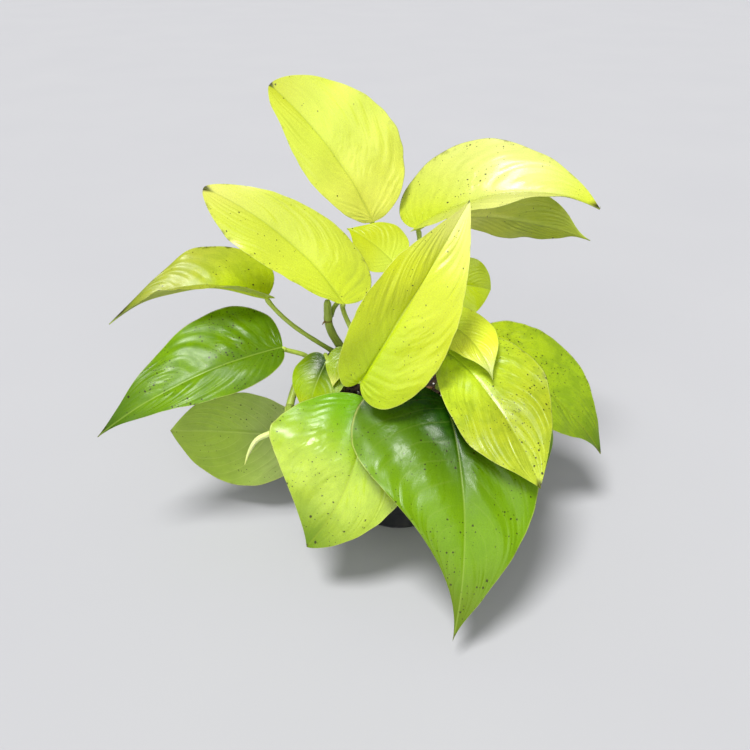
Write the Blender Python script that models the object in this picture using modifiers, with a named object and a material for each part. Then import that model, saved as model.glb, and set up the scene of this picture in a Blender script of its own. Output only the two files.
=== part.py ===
"""Potted neon pothos: a bushy plant of heart-shaped leaves in a round nursery pot.

Units are metres, +Z is up.  The origin is the centre of the pot's flat base,
which stands on the surface.  Front is -Y.
"""
import math

import bmesh
import bpy
import numpy as np
from mathutils import Vector

MM = 0.001
GAP = 0.4 * MM              # clearance that touching pieces keep

# ------------------------------------------------------------------ pot, mm
POT_HEIGHT = 88.0
POT_BASE_RADIUS = 32.0
POT_TOP_RADIUS = 43.0       # outer wall just under the rim band
RIM_RADIUS = 45.0
RIM_HEIGHT = 10.0           # depth of the rim band
WALL = 1.2
BASE_THICKNESS = 2.0
DRAIN_HOLES = 8
DRAIN_HOLE_RADIUS = 4.0
DRAIN_CIRCLE_RADIUS = 22.0

# ----------------------------------------------------------------- soil, mm
SOIL_TOP = 78.0             # at the wall; the middle is mounded
SOIL_MOUND = 2.5
ROOT_DEPTH = 12.0           # how far a stem goes down into the soil
ROOT_BOTTOM = SOIL_TOP - ROOT_DEPTH

# ---------------------------------------------------------------- foliage
LEAF_THICKNESS = 0.8
LEAF_ROWS = 12
LEAF_COLUMNS = 6
UM = 0.45                   # share of a half outline before the widest point
PETIOLE_RADIUS = 1.4
PETIOLE_POINTS = 9
PETIOLE_ARRIVAL = 0.36      # last handle's length, as a share of the span

LEAF_DEFAULTS = dict(arch=8, sweep=0, curl=2, hook=0, lean=0.5)
HALF_DEFAULTS = dict(w=28, fold=12, lobe=0.12, widest=0.36, drip=0.14,
                     point=0.10, full=0.28)

# base: where the petiole joins; tip: the pointed end; faces: the way the
# upper surface looks.  left and right are the two halves of the blade beside
# the midrib: w is the half width in mm, fold the angle a half is lifted by,
# lobe how far it reaches back past the base, widest where it is broadest,
# drip and point the drawn-out end, full how round the shoulder is.
LEAVES = {
    "crown": dict(
        base=(-15, 42, 158), tip=(-69, 52, 229), faces=(0.1, -0.9, 0.45),
        arch=6, sweep=4, curl=4,
        left=dict(w=25, fold=38, lobe=-0.02, widest=0.45, drip=0, point=0.25),
        right=dict(w=36, fold=12, lobe=0.03, widest=0.42, drip=0, point=0.3,
                   full=0.26)),
    "upper_left": dict(
        base=(-30, -10, 132), tip=(-98, 0, 190), faces=(0.1, -0.75, 0.7),
        arch=6, sweep=5, curl=3,
        left=dict(w=21, fold=20, lobe=-0.05, widest=0.6, drip=0, point=0.3,
                  full=0.24),
        right=dict(w=24, fold=14, lobe=0.08, widest=0.22, drip=0, point=0.2,
                   full=0.3)),
    "far_left": dict(
        base=(-72, 10, 127), tip=(-155, -5, 118), faces=(-0.25, -0.05, 1),
        arch=13, curl=3, lean=1.4,
        left=dict(w=20, fold=31, drip=0.4),
        right=dict(w=28, fold=40, lobe=0.05, widest=0.25, drip=0.38)),
    "mid_left": dict(
        base=(-63, -10, 107), tip=(-157, -45, 73), faces=(-0.2, -0.45, 0.85),
        arch=10, curl=3, lean=1.2,
        left=dict(w=16, fold=-8, lobe=0, widest=0.3, drip=0.2),
        right=dict(w=32, fold=18, lobe=0.03, widest=0.24, drip=0.22,
                   point=0.14)),
    "low_left": dict(
        base=(-53, -20, 56), tip=(-128, -15, 57), faces=(-0.1, 1, -0.15),
        arch=3, curl=3,
        left=dict(w=24, fold=8, widest=0.5, drip=0.06, point=0.2),
        right=dict(w=36, fold=8, widest=0.5, drip=0.04, point=0.25)),
    "front_left": dict(
        base=(-19, -42, 95), tip=(-48, -84, 34), faces=(0, -0.75, 0.65),
        arch=10, sweep=-8, curl=4,
        left=dict(w=28, fold=4, lobe=0.1, widest=0.4, drip=0.02, point=0.16),
        right=dict(w=45, fold=8, lobe=0.10, widest=0.33, drip=0.1,
                   point=0.18)),
    "front": dict(
        base=(21, -51, 99), tip=(22, -126, 14), faces=(0, -0.6, 0.8),
        arch=12, sweep=-6, curl=5,
        left=dict(w=37, fold=2, lobe=0.22, widest=0.32, drip=0.16, point=0.06,
                  full=0.26),
        right=dict(w=50, fold=8, lobe=0.25, widest=0.12, drip=0.36,
                   point=0.04, full=0.24)),
    "centre": dict(
        base=(-21, -60, 115), tip=(29, -32, 194), faces=(0.1, -0.9, 0.4),
        arch=6, curl=3,
        left=dict(w=23, fold=30, lobe=0.15, widest=0.36, drip=0.12,
                  point=0.12),
        right=dict(w=28, fold=14, lobe=0.18, widest=0.26, drip=0.08,
                   point=0.2)),
    "right_arch": dict(
        base=(9, 34, 157), tip=(102, 15, 176), faces=(0.3, -0.2, 1),
        arch=14, curl=5, hook=2,
        left=dict(w=40, fold=38, lobe=0.2, widest=0.3, drip=0.08, point=0.14),
        right=dict(w=24, fold=22, lobe=0.1, widest=0.4)),
    "right_back": dict(
        base=(28, 45, 161), tip=(108, 45, 146), faces=(0.2, 0.9, 0.5),
        arch=6,
        left=dict(w=18, fold=10, widest=0.5, drip=0.2),
        right=dict(w=22, fold=10, widest=0.5, drip=0.2)),
    "middle_back": dict(
        base=(-3, 10, 145), tip=(-29, 23, 161), faces=(0, 0.1, 1),
        arch=2,
        left=dict(w=15, fold=-20, lobe=0.05),
        right=dict(w=20, fold=35, lobe=0.05)),
    "behind_right": dict(
        base=(22, 16, 132), tip=(49, 15, 129), faces=(0.2, -0.8, 0.6),
        arch=3, curl=2,
        left=dict(w=16, fold=30, widest=0.5, drip=0.06, point=0.3),
        right=dict(w=17, fold=4, widest=0.5, drip=0.06, point=0.3)),
    "small_right": dict(
        base=(15, -24, 131), tip=(42, -58, 115), faces=(0.3, -0.6, 0.8),
        arch=4, sweep=-4,
        left=dict(w=16, fold=10, widest=0.4, drip=0.2),
        right=dict(w=14, fold=10, widest=0.4, drip=0.2)),
    "mid_right": dict(
        base=(21, -34, 118), tip=(62, -94, 78), faces=(0.2, -0.65, 0.75),
        arch=6, sweep=-3, curl=3,
        left=dict(w=31, fold=8, lobe=0.06, widest=0.34, drip=0.1, point=0.14),
        right=dict(w=24, fold=8, lobe=0.05, widest=0.5, drip=0.08,
                   point=0.16)),
    "far_right": dict(
        base=(43, 5, 98), tip=(114, -15, 41), faces=(0.4, -0.6, 0.8),
        arch=8, sweep=-3, curl=3,
        left=dict(w=31, fold=10, lobe=0.14, drip=0.08, point=0.12),
        right=dict(w=24, fold=10, lobe=0.1, widest=0.4, drip=0.2)),
    "low_right": dict(
        base=(43, -24, 95), tip=(76, -42, 43), faces=(0.3, -0.6, 0.8),
        arch=6, sweep=-5, curl=3,
        left=dict(w=16, fold=30),
        right=dict(w=20, fold=8)),
    "shade_left": dict(
        base=(-40, -16, 101), tip=(-50, -32, 76), faces=(-0.3, -0.75, 0.5),
        arch=3, curl=3,
        left=dict(w=15, widest=0.28, drip=0.1, lobe=0.3),
        right=dict(w=15, widest=0.28, drip=0.1, lobe=0.3)),
    "back_low": dict(
        base=(8, 42, 106), tip=(20, 93, 54), faces=(0.1, 0.7, 0.7),
        arch=8, sweep=3, curl=3,
        left=dict(w=27, fold=12, lobe=0.14),
        right=dict(w=25, fold=10, lobe=0.16, widest=0.32)),
    "back_left": dict(
        base=(-30, 34, 122), tip=(-80, 74, 126), faces=(-0.2, 0.3, 1),
        arch=9, sweep=-3, curl=3,
        left=dict(w=22, fold=14),
        right=dict(w=20, fold=16)),
    "small_left": dict(
        base=(-30, -18, 110), tip=(-36, -30, 94), faces=(-0.3, -0.8, 0.6),
        arch=2, curl=1,
        left=dict(w=6),
        right=dict(w=7)),
}

# Each vine: its root in the soil, then the points its stem grows through.
VINES = {
    "front": dict(r=2.6, path=[(-17, -9), (-17, -9, 81), (-20, -13, 96),
                               (-22, -17, 110)]),
    "left": dict(r=2.8, path=[(-33, -5), (-33, -5, 81), (-38, -4, 91),
                              (-47, -3, 95), (-54, -6, 88), (-59, -15, 79),
                              (-61, -26, 71)]),
    "back_left": dict(r=2.8, path=[(-25, 13), (-25, 13, 81), (-32, 12, 93),
                                   (-39, 11, 108), (-40, 12, 124)]),
    "back": dict(r=2.8, path=[(7, 17), (7, 17, 81), (8, 18, 100),
                              (10, 20, 116), (11, 22, 130)]),
    "right": dict(r=2.8, path=[(22, -6), (22, -6, 81), (25, -8, 92),
                               (31, -9, 103)]),
}

# Each petiole: the vine it grows from, how far along it, and the handle
# point that its curve first heads for.
PETIOLES = {
    "crown": ("back", 0.72, (4, 44, 124)),
    "upper_left": ("front", 0.8, (-24, -5, 112)),
    "far_left": ("back_left", 0.5, (-48, 5, 104)),
    "mid_left": ("left", 0.55, (-50, -6, 101)),
    "low_left": ("left", 0.93, (-60, -36, 78)),
    "front_left": ("front", 0.46, (-19, -24, 92)),
    "front": ("right", 0.46, (23, -22, 92)),
    "centre": ("front", 0.62, (-26, -28, 98)),
    "right_arch": ("back", 0.86, (3, 30, 128)),
    "right_back": ("back", 0.95, (13, 36, 142)),
    "middle_back": ("back", 0.62, (-1, 13, 116)),
    "behind_right": ("back", 0.8, (17, 14, 120)),
    "small_right": ("right", 0.82, (21, -11, 114)),
    "mid_right": ("right", 0.6, (23, -18, 103)),
    "far_right": ("right", 0.5, (30, 3, 92)),
    "low_right": ("right", 0.72, (37, -12, 96)),
    "shade_left": ("left", 0.42, (-42, -6, 104)),
    "back_low": ("back", 0.5, (8, 28, 106)),
    "back_left": ("back_left", 0.85, (-36, 22, 120)),
    "small_left": ("front", 0.93, (-27, -12, 112)),
}

# The furled new leaf at the end of the left vine: points and radii.
NEW_LEAF_PATH = [(-61.1, -26.6, 70.6), (-62.4, -29.8, 68.2),
                 (-69, -31, 66.2), (-77, -31, 62), (-82, -31, 54),
                 (-85, -32, 46)]
NEW_LEAF_RADIUS = 1.9

COLOURS = {
    "leaf": (0.62, 0.78, 0.06),
    "young_leaf": (0.80, 0.86, 0.16),
    "green_leaf": (0.12, 0.36, 0.02),
    "stem": (0.30, 0.50, 0.06),
    "soil": (0.035, 0.022, 0.014),
    "pot": (0.012, 0.012, 0.013),
}
GREENER = ("front", "mid_left", "low_left", "far_left", "shade_left",
           "low_right")


# ------------------------------------------------------------------ set-up
for old in list(bpy.data.objects):
    bpy.data.objects.remove(old, do_unlink=True)

PARTS = bpy.data.collections.new("potted_pothos")
CUTTERS = bpy.data.collections.new("cutters")
bpy.context.scene.collection.children.link(PARTS)
bpy.context.scene.collection.children.link(CUTTERS)


def material(name, colour, roughness):
    """Return the named Principled material, made on its first use."""
    found = bpy.data.materials.get(name)
    if found:
        return found
    made = bpy.data.materials.new(name)
    made.use_nodes = True
    shader = made.node_tree.nodes["Principled BSDF"]
    shader.inputs["Base Color"].default_value = (*colour, 1.0)
    shader.inputs["Roughness"].default_value = roughness
    shader.inputs["Metallic"].default_value = 0.0
    return made


def add_part(name, data, mat):
    """Link a mesh or curve into the parts collection as a named object."""
    obj = bpy.data.objects.new(name, data)
    PARTS.objects.link(obj)
    data.materials.append(mat)
    return obj


def unit(vector):
    """Scale a vector, or an array of vectors, to length one."""
    vector = np.asarray(vector, float)
    return vector / np.linalg.norm(vector, axis=-1, keepdims=True)


# ------------------------------------------------------------ leaf surface
def bezier(points, t):
    """Return points of a cubic Bezier curve at parameters t."""
    p = np.asarray(points, float)
    t = t[..., None]
    s = 1.0 - t
    return (s ** 3 * p[0] + 3 * s * s * t * p[1] + 3 * s * t * t * p[2]
            + t ** 3 * p[3])


def half_outline(u, half):
    """Outline of half a blade: (distance along, distance out), each 0 to 1.

    One curve runs from the base, back round the lobe, to the widest point,
    and a second one from there to the drawn-out tip.
    """
    widest, full = half["widest"], half["full"]
    rear = bezier([(0, 0), (-half["lobe"], 0.34), (widest - full, 1),
                   (widest, 1)], np.clip(u / UM, 0, 1))
    front = bezier([(widest, 1), (widest + full, 1),
                    (1 - half["drip"], half["point"]), (1, 0)],
                   np.clip((u - UM) / (1 - UM), 0, 1))
    return np.where((u < UM)[..., None], rear, front)


def blade_frame(leaf):
    """Return the base, the chord, the facing normal and the side."""
    base = np.array(leaf["base"], float)
    chord = np.array(leaf["tip"], float) - base
    along = unit(chord)
    facing = np.array(leaf["faces"], float)
    facing = unit(facing - (facing @ along) * along)
    return base, chord, facing, np.cross(along, facing)


def blade_points(spec, u, v):
    """Map grid parameters u (base to tip) and v (-1 to 1 across) to mm.

    The midrib is the chord from base to tip, raised by an arch and swept to
    one side.  Each half is drawn out sideways to its outline, turned up by
    its fold angle, and curls back down with the square of the distance.
    """
    leaf = {**LEAF_DEFAULTS, **spec}
    left = {**HALF_DEFAULTS, **leaf["left"]}
    right = {**HALF_DEFAULTS, **leaf["right"]}
    base, chord, facing, side = blade_frame(leaf)
    length = np.linalg.norm(chord)
    is_left = v < 0
    out = np.abs(v)
    edge = np.where(is_left[..., None], half_outline(u, left),
                    half_outline(u, right))
    station = u + (edge[..., 0] - u) * out
    width = np.where(is_left, left["w"], right["w"])
    across = edge[..., 1] * out * width

    def bump(x):
        y = np.clip(x, 0, 1)
        return 4 * y * (1 - y)

    def midrib(x):
        lift = leaf["arch"] * bump(x)
        lift = lift - leaf["hook"] * np.clip((x - 0.8) / 0.2, 0, 1) ** 2
        return (base + chord * np.clip(x, 0, 1)[..., None]
                + facing * lift[..., None]
                + side * (leaf["sweep"] * bump(x))[..., None])

    inside = np.clip(station, 0, 1)
    near = np.clip(inside, 0.03, 0.97)
    tangent = unit(midrib(near + 0.03) - midrib(near - 0.03))
    beyond = ((station - inside) * length)[..., None]
    spine = midrib(station) + tangent * beyond
    sideways = unit(np.cross(tangent, facing))
    upward = np.cross(sideways, tangent)
    fold = np.radians(np.where(is_left, left["fold"], right["fold"]))
    shift = across * np.cos(fold) * np.where(is_left, -1, 1)
    lift = across * np.sin(fold) - leaf["curl"] * (across / width) ** 2
    return spine + sideways * shift[..., None] + upward * lift[..., None]


def add_leaf(name, spec):
    """Bend a grid into the blade and give it an even thickness."""
    grid = bmesh.new()
    bmesh.ops.create_grid(grid, x_segments=LEAF_COLUMNS,
                          y_segments=LEAF_ROWS, size=1.0)
    across = np.array([vert.co.x for vert in grid.verts])
    along = np.array([(vert.co.y + 1) / 2 for vert in grid.verts])
    placed = blade_points(spec, along, across) * MM
    for vert, point in zip(grid.verts, placed):
        vert.co = Vector(point)
    bmesh.ops.remove_doubles(grid, verts=grid.verts, dist=0.02 * MM)
    mesh = bpy.data.meshes.new("leaf_" + name)
    grid.to_mesh(mesh)
    grid.free()
    slot = "green_leaf" if name in GREENER else "leaf"
    leaf = add_part("leaf_" + name, mesh,
                    material(slot, COLOURS[slot], 0.35))
    thick = leaf.modifiers.new("thickness", "SOLIDIFY")
    thick.thickness = LEAF_THICKNESS * MM
    thick.offset = -1.0
    mesh.shade_smooth()
    return leaf


# ------------------------------------------------------------------- tubes
def smooth_path(points, count):
    """Read evenly many points from a Catmull-Rom curve through points."""
    p = np.asarray(points, float)
    p = np.vstack([2 * p[0] - p[1], p, 2 * p[-1] - p[-2]])
    spans = len(p) - 3
    where = np.linspace(0, spans, count)
    index = np.minimum(where.astype(int), spans - 1)
    t = (where - index)[:, None]
    a, b, c, d = (p[index + k] for k in range(4))
    return 0.5 * (2 * b + (c - a) * t + (2 * a - 5 * b + 4 * c - d) * t ** 2
                  + (3 * b - a - 3 * c + d) * t ** 3)


def add_tube(name, points, radii, mat):
    """A round stem: a poly curve with a bevel, capped at both ends."""
    curve = bpy.data.curves.new(name, "CURVE")
    curve.dimensions = "3D"
    curve.bevel_depth = 1.0 * MM
    curve.bevel_resolution = 2
    curve.use_fill_caps = True
    spline = curve.splines.new("POLY")
    spline.points.add(len(points) - 1)
    for slot, point, radius in zip(spline.points, points, radii):
        slot.co = (*(point * MM), 1.0)
        slot.radius = radius
    return add_part(name, curve, mat)


def vine_line(vine, count=40):
    """The centre line of a vine, with its root set to the root depth."""
    root = (*vine["path"][0], ROOT_BOTTOM)
    return smooth_path([root] + vine["path"][1:], count)


def on_vine(vine, share):
    """The point that lies a share of the way along a vine."""
    line = vine_line(vine)
    return line[int(round(share * (len(line) - 1)))]


def petiole_line(name):
    """Points of a petiole: out of the vine's side, then up under the blade.

    It is one cubic Bezier curve from the vine's skin, towards its first
    handle, to the underside of the blade, where it arrives from below.
    """
    vine_name, share, handle = PETIOLES[name]
    vine = VINES[vine_name]
    line = vine_line(vine)
    index = int(round(share * (len(line) - 1)))
    node = line[index]
    growth = unit(line[min(index + 1, len(line) - 1)] - line[index - 1])
    leaf = {**LEAF_DEFAULTS, **LEAVES[name]}
    base, chord, facing, side = blade_frame(leaf)
    rise = unit(chord + facing * 4 * leaf["arch"] + side * 4 * leaf["sweep"])
    above = unit(facing - (facing @ rise) * rise)
    end = base - above * (LEAF_THICKNESS + 0.7) - rise * 0.3
    out = np.asarray(handle, float) - node
    out = unit(out - (out @ growth) * growth)
    start = node + out * (vine["r"] + 1.0)
    reach = np.linalg.norm(end - start) * PETIOLE_ARRIVAL
    last = end - unit(above + leaf["lean"] * rise) * reach
    t = np.linspace(0, 1, PETIOLE_POINTS)
    return bezier([start, handle, last, end], t)


# ------------------------------------------------------------------- build
def turned(name, profile, mat, steps):
    """Turn a profile of (radius, height) in mm about the Z axis."""
    mesh = bpy.data.meshes.new(name)
    points = [(r * MM, 0.0, z * MM) for r, z in profile]
    edges = [(i, i + 1) for i in range(len(points) - 1)]
    mesh.from_pydata(points, edges, [])
    obj = add_part(name, mesh, mat)
    screw = obj.modifiers.new("turn", "SCREW")
    screw.axis = "Z"
    screw.steps = steps
    screw.render_steps = steps
    screw.use_merge_vertices = True
    screw.merge_threshold = 0.00005
    screw.use_smooth_shade = True
    return obj


def cutter(name, x, y, z_low, z_high, radius, sides):
    """A hidden upright cylinder that a Boolean takes away."""
    bpy.ops.mesh.primitive_cylinder_add(
        vertices=sides, radius=radius * MM, depth=(z_high - z_low) * MM,
        location=(x * MM, y * MM, (z_low + z_high) / 2 * MM))
    obj = bpy.context.active_object
    obj.name = name
    for collection in list(obj.users_collection):
        collection.objects.unlink(obj)
    CUTTERS.objects.link(obj)
    obj.hide_render = True
    obj.display_type = "WIRE"
    return obj


def cut(target, tool):
    """Take the cutter away from the target."""
    boolean = target.modifiers.new(tool.name, "BOOLEAN")
    boolean.operation = "DIFFERENCE"
    boolean.solver = "EXACT"
    boolean.object = tool


def outer_wall(z):
    """Outer radius of the tapered wall at height z, in mm."""
    share = z / POT_HEIGHT
    return POT_BASE_RADIUS + (POT_TOP_RADIUS - POT_BASE_RADIUS) * share


BAND_LOW = POT_HEIGHT - RIM_HEIGHT
POT_PROFILE = [
    (0, BASE_THICKNESS),
    (POT_BASE_RADIUS - 3, BASE_THICKNESS),
    (outer_wall(5) - WALL, 5),
    (outer_wall(BAND_LOW) - WALL, BAND_LOW),
    (RIM_RADIUS - WALL - 0.8, BAND_LOW + 1.5),
    (RIM_RADIUS - WALL - 0.8, POT_HEIGHT),
    (RIM_RADIUS - 0.5, POT_HEIGHT),
    (RIM_RADIUS, POT_HEIGHT - 0.6),
    (RIM_RADIUS, POT_HEIGHT - 2.4),
    (RIM_RADIUS - 0.8, POT_HEIGHT - 3.0),
    (RIM_RADIUS - 0.8, BAND_LOW),
    (outer_wall(BAND_LOW), BAND_LOW - 0.8),
    (outer_wall(2), 2),
    (POT_BASE_RADIUS - 1.5, 0),
    (0, 0),
]
# The profile's inner side comes first, so it is reversed to run down the
# outer side from top to bottom with the faces pointing out.
pot = turned("pot", POT_PROFILE, material("pot", COLOURS["pot"], 0.45), 48)
for number in range(DRAIN_HOLES):
    angle = 2 * math.pi * (number + 0.5) / DRAIN_HOLES
    hole = cutter(f"drain_{number + 1}",
                  DRAIN_CIRCLE_RADIUS * math.cos(angle),
                  DRAIN_CIRCLE_RADIUS * math.sin(angle),
                  -1.0, BASE_THICKNESS + 1.0, DRAIN_HOLE_RADIUS, 16)
    cut(pot, hole)

SOIL_CLEAR = 0.4            # soil to pot, mm
SOIL_PROFILE = [
    (0, SOIL_TOP + SOIL_MOUND),
    (14, SOIL_TOP + SOIL_MOUND * 0.8),
    (28, SOIL_TOP + SOIL_MOUND * 0.3),
    (outer_wall(SOIL_TOP - 2) - WALL - SOIL_CLEAR, SOIL_TOP - 1.2),
    (outer_wall(5) - WALL - SOIL_CLEAR, 5),
    (POT_BASE_RADIUS - 3.4, BASE_THICKNESS + SOIL_CLEAR),
    (0, BASE_THICKNESS + SOIL_CLEAR),
]
soil = turned("soil", SOIL_PROFILE, material("soil", COLOURS["soil"], 0.95),
              40)
stem_material = material("stem", COLOURS["stem"], 0.4)
for name, vine in VINES.items():
    line = vine_line(vine, 14)
    # A stem is a little thicker at each joint and tapers towards its end.
    taper = np.linspace(1.0, 0.72, len(line))
    add_tube("vine_" + name, line, vine["r"] * taper, stem_material)
    x, y = vine["path"][0]
    cut(soil, cutter("root_" + name, x, y, ROOT_BOTTOM - GAP / MM,
                     SOIL_TOP + 8, vine["r"] + 1.2, 16))

for name, spec in LEAVES.items():
    add_leaf(name, spec)
    line = petiole_line(name)
    radii = np.linspace(1.15, 0.9, len(line)) * PETIOLE_RADIUS
    if name == "small_left":
        radii = radii * 0.7
    add_tube("petiole_" + name, line, radii, stem_material)

line = smooth_path(NEW_LEAF_PATH, 9)
swell = np.array([0.8, 0.95, 1.0, 1.0, 0.95, 0.85, 0.7, 0.45, 0.15])
add_tube("new_leaf", line, swell * NEW_LEAF_RADIUS,
         material("young_leaf", COLOURS["young_leaf"], 0.4))
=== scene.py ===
"""Looks of a potted neon pothos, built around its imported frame.

Leaves, stalks, vines, potting mix and pot are surfaces worked out with numpy
from the same design sizes as the frame.  Lengths are millimetres until a
mesh is made, where they become metres.  Front is -Y and +Z is up.
"""
import math

import bmesh
import bpy
import numpy as np
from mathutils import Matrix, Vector


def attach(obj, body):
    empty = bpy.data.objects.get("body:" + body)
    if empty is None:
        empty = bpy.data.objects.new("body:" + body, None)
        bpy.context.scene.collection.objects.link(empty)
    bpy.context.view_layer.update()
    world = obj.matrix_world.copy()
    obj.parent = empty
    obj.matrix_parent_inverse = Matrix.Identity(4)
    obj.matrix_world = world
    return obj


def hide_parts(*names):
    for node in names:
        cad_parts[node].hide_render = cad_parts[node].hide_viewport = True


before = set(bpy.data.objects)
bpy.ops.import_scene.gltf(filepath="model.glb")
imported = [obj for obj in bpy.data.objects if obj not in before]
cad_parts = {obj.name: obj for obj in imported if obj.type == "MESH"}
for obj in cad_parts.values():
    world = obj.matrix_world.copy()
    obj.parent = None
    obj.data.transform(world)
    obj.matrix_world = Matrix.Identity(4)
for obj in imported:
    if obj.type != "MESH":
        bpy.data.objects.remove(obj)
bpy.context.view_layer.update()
MM = 0.001

# ------------------------------------------------------------ sizes, mm
POT_HEIGHT = 88.0
POT_BASE_RADIUS = 32.0
POT_TOP_RADIUS = 43.0
RIM_RADIUS = 45.0
RIM_HEIGHT = 10.0
WALL = 1.2
BASE_THICKNESS = 2.0
DRAIN_HOLES = 8
DRAIN_HOLE_RADIUS = 4.0
DRAIN_CIRCLE_RADIUS = 22.0
BASE_OPENING = 9.0          # radius of the turned base's open middle
FLUTES = 36                 # round the wall
FLUTE_DEPTH = 0.14          # each way
SOIL_TOP = 78.0
SOIL_MOUND = 2.5
SOIL_CLEAR = 0.4            # soil to pot
SOIL_REACH = 39.2           # radius that loose grains keep inside
GRAIN_RISE = 0.5            # share of its half height a grain stands up by
ROOT_BOTTOM = SOIL_TOP - 12.0
LEAF_THICKNESS = 0.8
UM = 0.45                   # share of a half outline before the widest point
PETIOLE_RADIUS = 1.4
PETIOLE_ARRIVAL = 0.36      # last handle's length, as a share of the span
VINE_POINTS = 120
LOWEST_JOINT = 0.28         # share of a vine, just above the soil

# ---------------------------------------------------------------- foliage
LEAF_DEFAULTS = dict(arch=8, sweep=0, curl=2, hook=0, lean=0.5)
HALF_DEFAULTS = dict(w=28, fold=12, lobe=0.12, widest=0.36, drip=0.14, point=0.10, full=0.28)

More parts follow.
